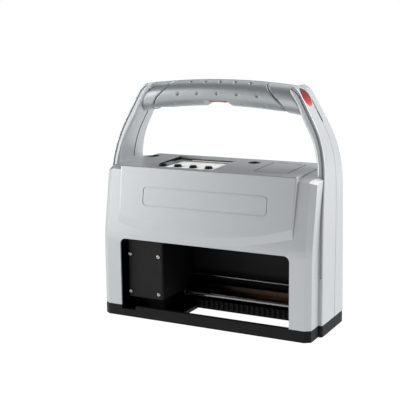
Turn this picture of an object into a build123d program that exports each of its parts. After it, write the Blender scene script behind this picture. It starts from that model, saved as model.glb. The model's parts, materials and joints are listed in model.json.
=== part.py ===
from build123d import *
import math
import os

os.makedirs("parts", exist_ok=True)

# Handheld inkjet date coder: a two-shell body with an arch handle, an open print window and a
# carriage that carries an ink cartridge across a slot in the base.
# Frame: X along the length, Y from the front (-) to the back (+), Z up from the resting face.
# The origin is the centre of the resting face. All sizes are in millimetres.

# ---- overall ----
LENGTH = 245.0
DEPTH = 96.0
BASE_H = 12.0
GRIP_TOP = 250.8
FRONT = -DEPTH / 2
BACK = DEPTH / 2
SEAM = FRONT + 58.7
SEAM_GAP = 0.6
WALL = 2.8

# ---- body shells ----
FACE_X = 112.15
CORE_X = 118.5
CORE_X_TOP = 120.3
FACET_X = 118.2
FACET_Y = 4.25
BAND_X = LENGTH / 2
BAND_FRONT = 23.0
LEAN_Z = 88.0
LEAN_BLEND = 8.0
LEAN = 0.153
COLUMN_LEAN = 0.175
LEAN_ANGLE = math.atan(LEAN)
BACK_LEAN = 8.5 / 151.0
DECK_SLOPE = 0.037
DECK_Z = 161.5
DECK_Y = 9.7
BODY_TOP = 168.0
CORNER_R = 10.0
GROOVE = 1.4
SIDE_ZONE = ((-5.0, 148.6), (10.4, 156.1), (17.6, 158.3), (26.0, 159.6), (60.0, 161.3), (110.0, 162.4))

# ---- raised front panel, nameplate, window ----
PANEL_X = 100.3
PANEL_PROUD = 1.2
PANEL_EDGE_R = 2.0
SMILE_Z = 404.8
SMILE_R = 309.0
SMILE_BEVEL = 7.5
PLATE_W = 141.0
PLATE_H = 20.0
PLATE_Z = 131.3
WINDOW_X = 96.3
WINDOW_TOP = 85.0
WINDOW_R = 6.0

# ---- handle ----
ARM_INNER_X = 113.0
GRIP_Y = 55.5
GRIP_DEPTH = 34.5
GRIP_BOTTOM = 223.6
GRIP_ARC_TOP = 713.0
GRIP_ARC_BOTTOM = 533.0
SLEEVE_T = 3.0
TRIGGER_X0 = -14.0
TRIGGER_X1 = 8.0

# ---- deck features ----
RECESS_X0, RECESS_X1 = -66.0, 5.0
RECESS_Y0, RECESS_Y1 = 17.0, 80.5
WINDOW_Y0, WINDOW_Y1 = 61.0, 78.6
KEY_X0, KEY_PITCH, KEY_Y, KEY_R = -56.0, 17.85, 23.5, 3.85
KEY_COUNT = 4
COVER_X0, COVER_X1 = 47.0, 83.4
COVER_Y0, COVER_Y1 = 26.0, 76.0
COVER_GAP = 0.4
PLUGS = ((-95.6, 71.5), (28.0, 69.5))
PLUG_R = 7.0
HINGE_Y, HINGE_Z, PIN_R = 73.6, 162.0, 1.1
BATTERY_Y0, BATTERY_Y1 = 31.0, 66.0
BATTERY_Z0, BATTERY_Z1 = 126.0, 153.0
BATTERY_X0, BATTERY_X1 = 49.6, 80.8
TRAY_WALL = 2.0
KNUCKLE_R, EAR_W = 1.75, 4.6
LENS_T = 2.5

# ---- carriage and drive ----
CAR_X0, CAR_X1 = -93.0, -51.0
CAR_Y0, CAR_Y1 = 12.0, 76.0
CAR_Z0, CAR_Z1 = 20.0, 95.0
SHAFT_Y, SHAFT_Z, SHAFT_R = 61.5, 16.5, 3.0
ROD_Y, ROD_Z, ROD_R = 80.0, 33.0, 2.0
PLATE_X = 101.0
RUN_CLEAR = 0.05
SLOT_X0, SLOT_X1 = -35.0, 96.0
SLOT_Y0, SLOT_Y1 = 5.0, 58.0
PULLEY_X = 101.0
PULLEY_Z = 108.0
PULLEY_R = 4.1
BELT_IN, BELT_OUT = 4.4, 5.6
BELT_Y0, BELT_Y1 = 68.0, 73.0
TRAY_Z = 120.0
CLAMP_X = -72.0
RECESS_FLOOR = 160.4
FLOOR_Z = 4.0
CAP_X, CAP_W = 88.0, 32.0
SHELL_SCREWS = ((-109.0, 30.0), (109.0, 30.0), (-109.0, 135.0), (109.0, 135.0))
BASE_SCREWS = ((-111.0, 12.0), (111.0, 12.0), (-115.0, 76.0), (115.0, 76.0))
PLATE_SCREWS = ((-90.0, 66.5), (-55.5, 66.5), (-90.0, 25.5), (-55.5, 25.5))


def back(distance):
    """Y of a point that far behind the front face."""
    return FRONT + distance


def block(x0, x1, y0, y1, z0, z1):
    """A box from its limits; y0 and y1 are distances behind the front face."""
    size = Box(x1 - x0, y1 - y0, z1 - z0)
    return Pos((x0 + x1) / 2, back((y0 + y1) / 2), (z0 + z1) / 2) * size


def rod_x(x0, x1, y, z, radius):
    return Pos((x0 + x1) / 2, back(y), z) * Rot(0, 90, 0) * Cylinder(radius, x1 - x0)


def rod_y(x, y0, y1, z, radius):
    return Pos(x, back((y0 + y1) / 2), z) * Rot(90, 0, 0) * Cylinder(radius, y1 - y0)


def rod_z(x, y, z0, z1, radius):
    return Pos(x, back(y), (z0 + z1) / 2) * Cylinder(radius, z1 - z0)


def side_prism(points, x0, x1):
    """A prism along X from a profile of (distance behind the front, Z) points."""
    outline = Polygon(*[(back(y), z) for y, z in points], align=None)
    return extrude(Plane.YZ.offset(x0) * outline, x1 - x0, dir=(1, 0, 0))


def face_prism(face, y0, y1):
    """A prism along Y from a face drawn as (X, Z)."""
    return extrude(Plane.XZ.offset(-back(y0)) * face, y1 - y0, dir=(0, 1, 0))


def both_sides(shape):
    return shape + mirror(shape, Plane.YZ)


def lean(z):
    """How far the columns' front has leaned back at a height, with a soft start."""
    if z <= LEAN_Z - LEAN_BLEND:
        return 0.0
    if z >= LEAN_Z + LEAN_BLEND:
        return COLUMN_LEAN * (z - LEAN_Z)
    return COLUMN_LEAN * (z - LEAN_Z + LEAN_BLEND) ** 2 / (4 * LEAN_BLEND)


def deck(y):
    """Height of the raised deck at a distance behind the front."""
    return DECK_Z + DECK_SLOPE * (y - DECK_Y)


# ---------------------------------------------------------------- outer form
def front_outline(z, inset=0.0):
    """Half-shell plan at a height: flat face, two facets, side. Inset gives the inner wall."""
    rise = max(0.0, (z - LEAN_Z) / (156.0 - LEAN_Z))
    side = CORE_X + (CORE_X_TOP - CORE_X) * rise
    side_y = BAND_FRONT - GROOVE + 3.6 * rise
    shift = lean(z)
    if inset:
        right = [
            (FACE_X - 0.6 * inset, inset + shift),
            (FACET_X - inset, FACET_Y + 0.8 * inset + shift),
            (CORE_X + 0.6 - inset, side_y + 2.5),
            (CORE_X + 0.6 - inset, 60.0),
        ]
    else:
        right = [
            (FACE_X, shift),
            (FACET_X, FACET_Y + shift),
            (side, side_y),
            (side, 60.0),
        ]
    left = [(-x, y) for x, y in reversed(right)]
    return Plane.XY.offset(z) * Polygon(*[(x, back(y)) for x, y in right + left], align=None)


def front_core(bottom, inset=0.0):
    levels = [bottom, LEAN_Z - LEAN_BLEND, LEAN_Z - 3, LEAN_Z + 3, LEAN_Z + LEAN_BLEND, BODY_TOP]
    return loft([front_outline(z, inset) for z in levels], ruled=True)


def rear_core(bottom, inset=0.0):
    """Rear half of the body with two rounded upright corners, leaning forward."""
    side = CORE_X + 0.6 - inset
    rear = 96.0 - inset
    lean_run = BACK_LEAN * (BODY_TOP - bottom)
    points = [(55.0, bottom), (rear, bottom), (rear - lean_run, BODY_TOP), (55.0, BODY_TOP)]
    solid = side_prism(points, -side, side)
    upright = [e for e in solid.edges() if e.center().Y > back(80) and abs(e.tangent_at(0.5).Z) > 0.9]
    return fillet(upright, CORNER_R - inset)


def below_deck(drop=0.0):
    """Everything under the deck's lower side zones, which round over at the front."""
    crown = Spline([(back(y), z - drop) for y, z in SIDE_ZONE])
    outline = crown + Polyline(crown @ 1, (back(110.0), -5.0), (back(-5.0), -5.0), crown @ 0)
    return extrude(Plane.YZ.offset(-130) * make_face(outline), 260, dir=(1, 0, 0))


def column_top_cut():
    """The sloped facet on top of each front column, rising to the foot of the arm."""
    corner = Vector(FACE_X, back(11.9), 156.1)
    inner = Vector(FACE_X, back(27.4), 162.3)
    facet = Vector(FACET_X, back(15.2), 153.9)
    normal = (inner - corner).cross(facet - corner)
    if normal.Z < 0:
        normal = normal * -1
    tilted = Plane(origin=corner, x_dir=(inner - corner), z_dir=normal)
    cutter = extrude(tilted * Rectangle(60, 60), 20)
    return both_sides(cutter & block(105, 135, -5, 30.5, 140, 180))


def raised_panel():
    """The proud front panel that wraps over the deck as a saddle, ending low in a curved bevel."""
    face = [(LEAN * (z - LEAN_Z) - PANEL_PROUD, z) for z in (LEAN_Z + 0.3, DECK_Z)]
    tail = 96.0 - BACK_LEAN * (150.0 - BASE_H)
    points = face + [(tail, deck(tail)), (tail, 150.0), (30.0, 150.0), (12.0, 89.0)]
    outline = Polygon((-PANEL_X, 170), (PANEL_X, 170), (PANEL_X - 2.0, 80), (-PANEL_X + 2.0, 80), align=None)
    solid = side_prism(points, -PANEL_X - 5, PANEL_X + 5) & face_prism(outline, -10, 110)
    front_edges = solid.edges().filter_by(lambda e: e.center().Y < back(11) and e.center().Z > 100)
    long_edges = [e for e in front_edges if abs(e.center().X) < 1 or abs(e.tangent_at(0.5).Z) > 0.8]
    deck_edges = [e for e in solid.edges() if abs(e.tangent_at(0.5).Y) > 0.95 and e.center().Z > 158]
    solid = fillet(ShapeList(long_edges + deck_edges), PANEL_EDGE_R)
    slope = SMILE_BEVEL / PANEL_PROUD
    centre_v = (SMILE_Z - LEAN_Z) / math.cos(LEAN_ANGLE)
    outer = SMILE_R / math.cos(LEAN_ANGLE) + SMILE_BEVEL
    deep, high = 12.0, 4.0
    cone = Cone(outer + slope * deep, outer - slope * high, deep + high)
    cone = lean_plane() * Pos(0, centre_v, (high - deep) / 2) * cone
    lower = solid & cone & block(-120, 120, -5, 40, 80, 150)
    upper = solid & block(-120, 120, -5, 110, 150, 180)
    return lower + upper


def lean_plane():
    outward = (0, -math.cos(LEAN_ANGLE), math.sin(LEAN_ANGLE))
    return Plane(origin=(0, FRONT, LEAN_Z), x_dir=(1, 0, 0), z_dir=outward)


def nameplate_groove():
    """A shallow rounded outline on the panel, left blank."""
    ring = RectangleRounded(PLATE_W, PLATE_H, 4.5) - RectangleRounded(PLATE_W - 1.5, PLATE_H - 1.5, 3.75)
    height = (PLATE_Z - LEAN_Z) / math.cos(LEAN_ANGLE)
    depth = PANEL_PROUD * math.cos(LEAN_ANGLE)
    return extrude(lean_plane() * Pos(0, height, depth - 0.5) * ring, 3)


def arch_curves():
    """Outer and inner curves of one handle arm, as (X, Z)."""
    outer = Spline(
        (BAND_X, 120.0), (118.4, 181.0), (112.9, 198.4), (102.9, 218.2), (92.6, 236.6), (82.0, 246.3),
        tangents=[(-0.02, 1), (-1, 0.32)],
    )
    inner = Spline(
        (80.0, 240.5), (86.5, 230.5), (94.2, 214.5), (104.6, 195.0), (110.4, 178.0), (ARM_INNER_X, 158.0),
        tangents=[(0.6, -1), (0, -1)],
    )
    return outer, inner


def arch():
    """Both arms and the side bands under them: the front view profile cut by the side view profile."""
    outer, inner = arch_curves()
    start, end = outer @ 0, inner @ 1
    foot_x = CORE_X - 2.0
    lines = Line((BAND_X, BASE_H), start) + outer + Line(outer @ 1, inner @ 0) + inner
    lines += Polyline(end, (foot_x, 150.0), (foot_x, BASE_H), (BAND_X, BASE_H))
    front_view = face_prism(make_face(lines), 10, 95)
    return front_view & side_view(0)


def side_view(inset):
    """The arms seen from the side, thinned by an inset, as a prism along X."""
    fore_points = ((BAND_FRONT, 100.0), (27.4, 160.0), (33.2, 190.0), (38.2, 250.0))
    aft_points = ((72.8, 250.0), (76.6, 190.0), (79.6, 160.0), (81.0, 120.0))
    fore = Spline([(back(y + inset), z) for y, z in fore_points], tangents=[(0, 1), (0.06, 1)])
    aft = Spline([(back(y - inset), z) for y, z in aft_points], tangents=[(0.05, -1), (0.02, -1)])
    front_foot = (back(BAND_FRONT + inset), BASE_H)
    edge = Line(front_foot, fore @ 0) + fore + Line(fore @ 1, aft @ 0) + aft
    edge += Polyline(aft @ 1, (back(85.0 - inset), BASE_H), front_foot)
    return extrude(Plane.YZ.offset(70) * make_face(edge), 60, dir=(1, 0, 0))


def inset_outer(depth):
    """The arm's outer curve moved inward by a depth, drawn down the side band."""
    outer, _ = arch_curves()
    points = [outer @ (i / 12) - Vector(-(outer % (i / 12)).Y, (outer % (i / 12)).X) * -depth for i in range(13)]
    return Spline(points)


def skin_face(near, far):
    """The strip between two depths under the arm's outer curve, as (X, Z)."""
    first, second = inset_outer(near), inset_outer(far)
    foot = Polyline(first @ 0, (BAND_X - near, 60.0), (BAND_X - far, 60.0), second @ 0)
    return make_face(first + Line(first @ 1, second @ 1) + second + foot)


def arm():
    """One handle arm with its side band, grooved at its front edge, and the wide gap by the lens."""
    solid = arch()
    outer_edges = [e for e in solid.edges() if e.length > 50 and e.center().X > 112 and e.center().Z > 30]
    outer_edges = [e for e in outer_edges if min(v.X for v in e.vertices()) > 81.9 and on_outer_side(e)]
    solid = fillet(outer_edges, 1.3)
    inner_edges = [e for e in solid.edges() if 80 < e.length < 100 and 98 < e.center().X < 106]
    solid = fillet(inner_edges, 2.2)
    groove = face_prism(skin_face(1.5, 3.3), 15, 50) - side_view(1.5)
    thumb_gap = face_prism(skin_face(-1.0, 1.2), 57.5, 59.9) & block(90, 130, 50, 70, 210.7, 232)
    return solid - groove, thumb_gap


def on_outer_side(edge):
    """True for the long edges at the band's outer face, front and back."""
    ends = edge.vertices()
    return max(v.X for v in ends) > BAND_X - 0.5


def grip_section(x, trim=0.0):
    """The grip's oval section at a place along it, trimmed all round for the core."""
    top = GRIP_TOP - x * x / (2 * GRIP_ARC_TOP) - trim
    bottom = GRIP_BOTTOM - x * x / (2 * GRIP_ARC_BOTTOM) + trim
    oval = Ellipse(GRIP_DEPTH / 2 - trim, (top - bottom) / 2)
    return Plane.YZ.offset(x) * Pos(back(GRIP_Y), (top + bottom) / 2) * oval


def grip_loft(trim=0.0):
    return loft([grip_section(x, trim) for x in range(-95, 96, 19)])


def between_arms():
    """The space inside the arms' inner curves, which the grip's bar fills."""
    _, inner = arch_curves()
    right = Line((82.0, 246.3), inner @ 0) + inner
    right += Polyline(inner @ 1, (0, 158.0), (0, 256.0), (82.0, 256.0), (82.0, 246.3))
    return both_sides(face_prism(make_face(right), 20, 95))


def sleeve_zone():
    """The slanted ends of the soft sleeve."""
    ends = Polygon((-62, 253), (50, 253), (76, 215), (-84, 215), align=None)
    return face_prism(ends, 20, 95)


def trigger_pocket():
    mouth = block(TRIGGER_X0, TRIGGER_X1, 46.0, 65.0, 215, 230)
    chamber = block(TRIGGER_X0 - 3, TRIGGER_X1 + 3, 45.0, 66.0, 228.5, 241)
    return mouth + chamber


def lens_prism(shrink):
    oval = Pos(back(48.4), 235.3) * Ellipse(9.6 - shrink, 8.6 - shrink)
    return extrude(Plane.YZ.offset(80) * oval, 30, dir=(1, 0, 0))


# ---------------------------------------------------------------- shells
def rear_face(z):
    """Distance behind the front of the rear wall's outer face at a height."""
    return 96.0 - BACK_LEAN * (z - BASE_H)


def bosses():
    """Screw bosses for joining the two shells and for holding the base."""
    long_bosses = [rod_y(x, 3.0 + lean(z), rear_face(z) - 1.0, z, 4.6) for x, z in SHELL_SCREWS]
    short_bosses = [rod_z(x, y, BASE_H, 26.0, 4.6) for x, y in BASE_SCREWS]
    return long_bosses + short_bosses


def screw_holes():
    cuts = []
    for x, z in SHELL_SCREWS:
        seat = rear_face(z) - 3.2
        cuts.append(rod_y(x, seat, 100.0, z, 3.4))
        cuts.append(rod_y(x, seat - 46.0, seat, z, 1.5))
    cuts += [rod_z(x, y, 5.0, 22.0, 1.5) for x, y in BASE_SCREWS]
    return cuts


def deck_openings():
    display = block(RECESS_X0, RECESS_X1, RECESS_Y0, RECESS_Y1, 150, 175)
    cover = block(COVER_X0, COVER_X1, COVER_Y0, COVER_Y1, 150, 175)
    for x0 in (COVER_X0, COVER_X1 - EAR_W):
        ear = block(x0, x0 + EAR_W, HINGE_Y, COVER_Y1, 160.4, deck(HINGE_Y))
        ear += rod_x(x0, x0 + EAR_W, HINGE_Y, HINGE_Z, KNUCKLE_R)
        cover -= ear
    wells = [rod_z(x, y, 150, 175, PLUG_R) for x, y in PLUGS]
    pin_hole = rod_x(COVER_X0 + 1.5, COVER_X1 - 1.5, HINGE_Y, HINGE_Z, PIN_R)
    return [display, cover, pin_hole] + wells


def shells():
    """The front and rear shells, parted by a narrow seam."""
    core = (front_core(BASE_H) & below_deck()) - column_top_cut()
    core += rear_core(BASE_H) & below_deck()
    side_arm, thumb_gap = arm()
    body = core + raised_panel() + both_sides(side_arm) - thumb_gap
    hollow = (front_core(BASE_H - 1, WALL) + rear_core(BASE_H - 1, WALL)) & below_deck(WALL)
    hollow -= both_sides(block(104, 135, -5, 31, 146, 180))
    saddle = [(14.0, 140.0), (14.0, deck(14) - WALL), (84.5, deck(84.5) - WALL), (84.5, 140.0)]
    hollow += side_prism(saddle, -96, 96)
    opening = Pos(0, WINDOW_TOP / 2) * RectangleRounded(2 * WINDOW_X, WINDOW_TOP, WINDOW_R)
    opening += Pos(0, WINDOW_TOP / 4) * Rectangle(2 * WINDOW_X, WINDOW_TOP / 2)
    window = face_prism(opening, -5, 12)
    body = body - hollow - window - nameplate_groove() - deck_openings()
    body = body + bosses() - screw_holes()
    lens = lens_prism(0)
    skin = face_prism(skin_face(-1.0, LENS_T), 30, SEAM - FRONT - SEAM_GAP / 2)
    pocket = face_prism(skin_face(LENS_T, 7.5), 30, 75) & lens_prism(1.8)
    status_lens = body & skin & lens
    body = body - (skin & lens) - pocket
    front = body & block(-130, 130, -10, SEAM - FRONT - SEAM_GAP / 2, 0, 300)
    rear = body & block(-130, 130, SEAM - FRONT + SEAM_GAP / 2, 110, 0, 300)
    return front, rear, status_lens


def base():
    """The black frame under the body: front and rear halves with the print slot between."""
    front = extrude(front_outline(BASE_H).moved(Location((0, 0, -BASE_H))), BASE_H, dir=(0, 0, 1))
    rear = block(-CORE_X - 0.6, CORE_X + 0.6, 55, 96, 0, BASE_H)
    uprights = [e for e in rear.edges() if abs(e.tangent_at(0.5).Z) > 0.9 and e.center().Y > back(80)]
    rear = fillet(uprights, CORNER_R)
    band = block(CORE_X - 2, BAND_X, BAND_FRONT, 85, 0, BASE_H)
    outer = [e for e in band.edges() if abs(e.tangent_at(0.5).Z) > 0.9 and e.center().X > BAND_X - 1]
    frame = front + rear + both_sides(fillet(outer, 2.8))
    frame -= block(SLOT_X0, SLOT_X1, SLOT_Y0, SLOT_Y1, -1, 13)
    frame -= block(-WINDOW_X, WINDOW_X, SLOT_Y0, 60, FLOOR_Z, 13)
    frame -= block(-WINDOW_X, -79.0, -1, 6, 7.8, 13)
    frame -= block(-CAP_X, -CAP_X + CAP_W, 22, 46, 2.0, 5.0)
    frame -= block(-110, 110, 61, 90, FLOOR_Z, 13)
    frame -= block(-WINDOW_X, WINDOW_X, 58, 62, 10.5, 13)
    frame -= [rod_z(x, y, -1, 3.0, 3.3) for x, y in BASE_SCREWS]
    frame -= [rod_z(x, y, 2.0, 13.0, 1.5) for x, y in BASE_SCREWS]
    seam = SEAM - FRONT
    front = frame & block(-130, 130, -10, seam - SEAM_GAP / 2, -5, 20)
    rear = frame & block(-130, 130, seam + SEAM_GAP / 2, 110, -5, 20)
    front -= block(SLOT_X0, SLOT_X1, 50, 60, -1, 13)
    rear -= block(SLOT_X0, SLOT_X1, 50, 59.6, -1, 13)
    ribs = [block(x, x + 2, 57.9, 61, 1.0, 10.5) for x in range(-30, 94, 6)]
    return front, rear + ribs


# ---------------------------------------------------------------- handle
def handle():
    """The grip's bar with both shoulders, and the soft sleeve round its middle."""
    solid = grip_loft() & between_arms()
    zone = sleeve_zone()
    core = grip_loft(SLEEVE_T) & zone
    bar = (solid - zone) + core
    sleeve = (solid & zone) - core
    notch = Polygon((-23, 215), (-22, 223), (-15, 226), (9, 226), (16, 223), (17, 215), align=None)
    sleeve -= face_prism(notch, 20, 95)
    return bar - trigger_pocket(), sleeve - trigger_pocket()


def trigger():
    body = block(TRIGGER_X0 + 0.5, TRIGGER_X1 - 0.5, 46.5, 64.5, 224.3, 232)
    lower = [e for e in body.edges() if e.center().Z < 225]
    body = fillet(lower, 1.6)
    return body + block(TRIGGER_X0 - 2.6, TRIGGER_X1 + 2.6, 45.4, 65.6, 228.9, 231)


def trigger_spring():
    path = Helix(pitch=1.9, height=7.6, radius=2.4)
    wire = sweep((path ^ 0) * Circle(0.35), path=path, is_frenet=True)
    return Pos(-9, back(55.5), 232.7) * wire


def trigger_switch():
    return block(-1, 8, 51, 60, 235.4, 241) + block(2.5, 4.5, 54.5, 56.5, 234.9, 235.4)


def status_board():
    board = face_prism(skin_face(5.0, 6.2), 30, 75) & lens_prism(2.6)
    lamp = face_prism(skin_face(3.4, 5.0), 30, 75) & lens_prism(6.4)
    return board + lamp


# ---------------------------------------------------------------- deck
def key_places():
    return [KEY_X0 + KEY_PITCH * i for i in range(KEY_COUNT)]


def display_bezel():
    plate = block(RECESS_X0 + 0.4, RECESS_X1 - 0.4, RECESS_Y0 + 0.4, RECESS_Y1 - 0.4, 157, RECESS_FLOOR)
    plate += block(RECESS_X0 - 3, RECESS_X1 + 3, RECESS_Y0 - 1.5, RECESS_Y1 + 3, 155.5, 157)
    plate -= block(-60, -1, WINDOW_Y0, WINDOW_Y1, 150, 165)
    plate -= [rod_z(x, KEY_Y, 150, 165, KEY_R + 0.35) for x in key_places()]
    return plate - [rod_z(x, KEY_Y, 150, 157.8, KEY_R + 1.3) for x in key_places()]


def key(x):
    """A domed key with a flange that stops it under the bezel."""
    cap = rod_z(x, KEY_Y, 156.2, 162.6, KEY_R) + rod_z(x, KEY_Y, 156.0, 157.3, KEY_R + 0.9)
    dome = Pos(x, back(KEY_Y), 158.4) * Sphere(5.8)
    return cap + (dome & rod_z(x, KEY_Y, 162.4, 165.0, KEY_R))


def keypad_board():
    board = block(-64, 4, 16.5, 31.5, 151.5, 153)
    return board + [rod_z(x, KEY_Y, 153, 154.4, 2.5) for x in key_places()]


def display_window():
    return block(-59.7, -1.3, WINDOW_Y0 + 0.3, WINDOW_Y1 - 0.3, 158.9, RECESS_FLOOR - 0.3)


def display_module():
    """The display's frame and board, with its glass standing up into the bezel's opening."""
    glass = block(-58.5, -2.5, WINDOW_Y0 + 1.5, WINDOW_Y1 - 1.5, 155, 158.4)
    return block(-62, 2, 58, 81, 150, 155.3) + glass


def battery_cover():
    x0, x1 = COVER_X0 + COVER_GAP, COVER_X1 - COVER_GAP
    y0, y1 = COVER_Y0 + COVER_GAP, HINGE_Y - 2.9
    profile = [(y0, deck(y0) - 2.2), (y0, deck(y0)), (y1, deck(y1)), (y1, deck(y1) - 2.2)]
    tail = [(y1, deck(y1) - 2.2), (y1, deck(y1)), (HINGE_Y, deck(HINGE_Y)), (HINGE_Y, deck(y1) - 2.2)]
    inner0, inner1 = COVER_X0 + EAR_W + 0.4, COVER_X1 - EAR_W - 0.4
    lid = side_prism(profile, x0, x1) + side_prism(tail, inner0, inner1)
    lid += rod_x(inner0, inner1, HINGE_Y, HINGE_Z, KNUCKLE_R)
    return lid - rod_x(inner0 - 1, inner1 + 1, HINGE_Y, HINGE_Z, PIN_R + RUN_CLEAR)


# ---------------------------------------------------------------- carriage
def carriage_body():
    solid = block(CAR_X0, CAR_X1, CAR_Y0, CAR_Y1, CAR_Z0, CAR_Z1)
    solid -= block(CAR_X0 + 3, CAR_X1 - 3, 24, 66, 24, CAR_Z1 + 1)
    solid -= block(CAR_X0 + 7, CAR_X1 - 7, 25, 43, CAR_Z0 - 1, 25)
    solid -= block(-82, -62, 65, 67.4, 40, 60)
    for x0 in (CAR_X0, CAR_X1 - 10):
        solid += block(x0, x0 + 10, 55.5, 67.5, 11.2, CAR_Z0)
    solid -= rod_x(CAR_X0 - 1, CAR_X1 + 1, SHAFT_Y, SHAFT_Z, SHAFT_R + 1.0)
    return solid - [rod_y(x, CAR_Y0 - 1, 18, z, 1.2) for x, z in PLATE_SCREWS]


def carriage_front_plate():
    plate = block(CAR_X0, CAR_X1, 9.5, CAR_Y0, CAR_Z0, CAR_Z1)
    front_edges = [e for e in plate.edges() if e.center().Y < back(9.6) and abs(e.tangent_at(0.5).Z) > 0.9]
    plate = fillet(front_edges, 1.8)
    return plate - [rod_y(x, 9, 13, z, 1.2) for x, z in PLATE_SCREWS]


def carriage_screws():
    screws = []
    for x, z in PLATE_SCREWS:
        head = rod_y(x, 8.2, 9.5, z, 2.1) - block(x - 1.2, x + 1.2, 7.9, 8.7, z - 0.3, z + 0.3)
        screws.append(head + rod_y(x, 9.4, 17.5, z, 1.2))
    return screws


def shaft_bushings():
    rings = []
    for x0 in (CAR_X0, CAR_X1 - 10):
        ring = rod_x(x0, x0 + 10, SHAFT_Y, SHAFT_Z, SHAFT_R + 1.0)
        rings.append(ring - rod_x(x0 - 1, x0 + 11, SHAFT_Y, SHAFT_Z, SHAFT_R + RUN_CLEAR))
    return rings


def rod_slider():
    solid = block(CLAMP_X - 10, CLAMP_X + 10, CAR_Y1, 84.6, 28, 38)
    return solid - rod_x(CLAMP_X - 11, CLAMP_X + 11, ROD_Y, ROD_Z, ROD_R + RUN_CLEAR)


def print_cartridge():
    tank = block(CAR_X0 + 3.5, CAR_X1 - 3.5, 24.5, 65.5, 24.3, 90)
    upper = [e for e in tank.edges() if e.center().Z > 89]
    tank = fillet(upper, 1.5)
    return tank + block(CAR_X0 + 7.5, CAR_X1 - 7.5, 25.5, 42.5, 5, 24.5)


def belt_clamp():
    jaw = block(CLAMP_X - 6, CLAMP_X + 6, 66, 74, CAR_Z1, 106)
    run = PULLEY_Z - (BELT_IN + BELT_OUT) / 2
    return jaw - block(CLAMP_X - 7, CLAMP_X + 7, BELT_Y0 - 0.4, 75, run - 1.0, run + 1.0)


def encoder_sensor():
    return block(-92, -84, 73, 80.2, CAR_Z1, 104) - block(-93, -83, 77.3, 79.0, 97.5, 105)


# ---------------------------------------------------------------- drive and frame
def chassis_plate(side):
    x0, x1 = sorted((side * PLATE_X, side * (PLATE_X + 3)))
    solid = block(x0, x1, 20, 86, BASE_H, 92) + block(x0, x1, 20, 32, 92, TRAY_Z)
    solid += block(x0, x1, 74, 84, 92, 105)
    solid -= block(x0 - 1, x1 + 1, 77.9, 78.4, 98.4, 106)
    solid -= rod_x(x0 - 1, x1 + 1, SHAFT_Y, SHAFT_Z, SHAFT_R)
    return solid - rod_x(x0 - 1, x1 + 1, ROD_Y, ROD_Z, ROD_R)


def bracket(side, hole):
    centre = side * PULLEY_X
    plate = block(centre - 12.5, centre + 12.5, 64, 66, 95.6, TRAY_Z)
    return plate - rod_y(centre, 63, 67, PULLEY_Z, hole)


def pulley(x, bore):
    """A belt wheel with a flange at each side of the belt."""
    solid = rod_y(x, BELT_Y0 - 0.9, BELT_Y1 + 0.9, PULLEY_Z, PULLEY_R)
    solid += rod_y(x, BELT_Y0 - 0.9, BELT_Y0 - 0.4, PULLEY_Z, 6.2)
    solid += rod_y(x, BELT_Y1 + 0.4, BELT_Y1 + 0.9, PULLEY_Z, 6.2)
    return solid - rod_y(x, 60, 80, PULLEY_Z, bore)


def drive_motor():
    can = rod_y(PULLEY_X, 38, 64, PULLEY_Z, 11.8) + rod_y(PULLEY_X, 64, 66, PULLEY_Z, 4)
    return can - rod_y(PULLEY_X, 56, 67, PULLEY_Z, 1.5 + RUN_CLEAR)


def drive_belt():
    loop = SlotCenterToCenter(2 * PULLEY_X, 2 * BELT_OUT) - SlotCenterToCenter(2 * PULLEY_X, 2 * BELT_IN)
    return face_prism(Pos(0, PULLEY_Z) * loop, BELT_Y0, BELT_Y1)


def rear_wall_panel():
    return block(-100, 100, 86.2, 87.6, 37, 93) + block(-100, 100, 85.2, 87.6, 35.4, 37)


def main_board():
    board = block(-62, 30, 18, 80, 126, 127.6)
    chips = block(-40, -24, 40, 56, 127.6, 129) + block(0, 10, 30, 40, 127.6, 129.2)
    return board + chips + block(-58, -50, 24, 44, 127.6, 132)


def battery_tray():
    x0, x1 = BATTERY_X0 - 0.6, BATTERY_X1 + 0.6
    y0, y1 = BATTERY_Y0 - 0.6, BATTERY_Y1 + 0.6
    z0, z1 = TRAY_Z + 2, BATTERY_Z1 + 3
    outside = block(x0 - TRAY_WALL, x1 + TRAY_WALL, y0 - TRAY_WALL, y1 + TRAY_WALL, z0, z1)
    return outside - block(x0, x1, y0, y1, z0 + TRAY_WALL, z1 + 1)


def shell_screws():
    screws = []
    for x, z in SHELL_SCREWS:
        seat = rear_face(z) - 3.2
        head = rod_y(x, seat, seat + 2.2, z, 3.0) - rod_y(x, seat + 1.0, seat + 3, z, 1.3)
        screws.append(head + rod_y(x, seat - 44, seat, z, 1.5))
    return screws


def base_screws():
    screws = []
    for x, y in BASE_SCREWS:
        head = rod_z(x, y, 1.0, 3.0, 3.0) - rod_z(x, y, 0.5, 1.9, 1.3)
        screws.append(head + rod_z(x, y, 3.0, 20.0, 1.5))
    return screws


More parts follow.
